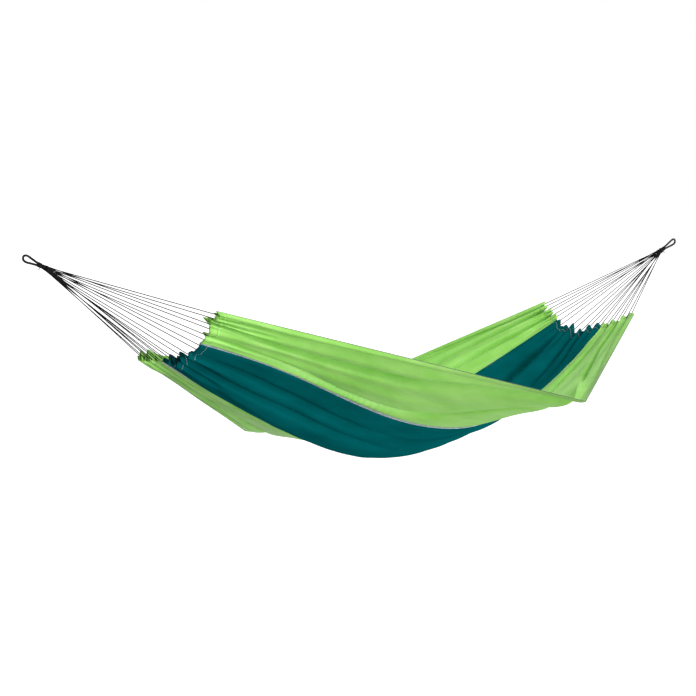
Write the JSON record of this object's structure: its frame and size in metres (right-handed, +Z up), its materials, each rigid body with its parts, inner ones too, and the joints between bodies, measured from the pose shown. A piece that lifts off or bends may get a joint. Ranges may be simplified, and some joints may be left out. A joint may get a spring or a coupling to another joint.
{
  "type": "camping hammock",
  "caption": "Hung travel hammock: three lengthwise cloth panels gathered on suspension cords that run to a knot and a rope eye at each end.",
  "frame": {"origin": "the inner end of the left eye, where a hook or carabiner bears", "axes": "+X to the right eye, +Z up, -Y to the near side, hung level"},
  "size_m": [2.7745, 1.3004, 0.6155],
  "materials": {
    "black_rope": "served rope",
    "whipping_twine": "waxed twine",
    "black_cord": "braided cord",
    "green_cloth": "light woven nylon",
    "teal_cloth": "light woven nylon",
    "grey_tape": "seam thread and tape"
  },
  "bodies": {
    "left_loop": {"left_end_loop": "black_rope", "left_neck_whipping": "whipping_twine"},
    "left_knot": {"left_gather_knot": "black_cord"},
    "sling": {"left_cord_01": "black_cord", "left_cord_02": "black_cord", "left_cord_03": "black_cord", "left_cord_04": "black_cord", "left_cord_05": "black_cord", "left_cord_06": "black_cord", "left_cord_07": "black_cord", "left_cord_08": "black_cord", "left_cord_09": "black_cord", "left_cord_10": "black_cord", "right_cord_01": "black_cord", "right_cord_02": "black_cord", "right_cord_03": "black_cord", "right_cord_04": "black_cord", "right_cord_05": "black_cord", "right_cord_06": "black_cord", "right_cord_07": "black_cord", "right_cord_08": "black_cord", "right_cord_09": "black_cord", "right_cord_10": "black_cord", "left_near_hem_channel": "green_cloth", "left_centre_hem_channel": "teal_cloth", "left_far_hem_channel": "green_cloth", "right_near_hem_channel": "green_cloth", "right_centre_hem_channel": "teal_cloth", "right_far_hem_channel": "green_cloth", "near_panel": "green_cloth", "centre_panel": "teal_cloth", "far_panel": "green_cloth", "near_seam_tape": "grey_tape", "far_seam_tape": "grey_tape", "near_edge_hem": "green_cloth", "far_edge_hem": "green_cloth"},
    "right_knot": {"right_gather_knot": "black_cord"},
    "right_loop": {"right_end_loop": "black_rope", "right_neck_whipping": "whipping_twine"}
  },
  "joints": [
    {"name": "left_tilt", "type": "hinge", "parent": "left_loop", "child": "left_knot", "pos_m": [0.06162, 0, -0.02365], "axis": [0, 1, 0], "range_deg": [-20, 0]},
    {"name": "swing", "type": "hinge", "parent": "left_knot", "child": "sling", "pos_m": [0.06162, 0, -0.02365], "axis": [1, 0, 0], "range_deg": [-35, 35]},
    {"name": "right_counter_swing", "type": "hinge", "parent": "sling", "child": "right_knot", "pos_m": [2.68762, 0, -0.02365], "axis": [1, 0, 0], "range_deg": [-35, 35]},
    {"name": "right_tilt", "type": "hinge", "parent": "right_knot", "child": "right_loop", "pos_m": [2.68762, 0, -0.02365], "axis": [0, 1, 0], "range_deg": [-40, 40]}
  ],
  "couplings": [
    {"joint": "right_counter_swing", "follows": "swing", "ratio": -1}
  ]
}
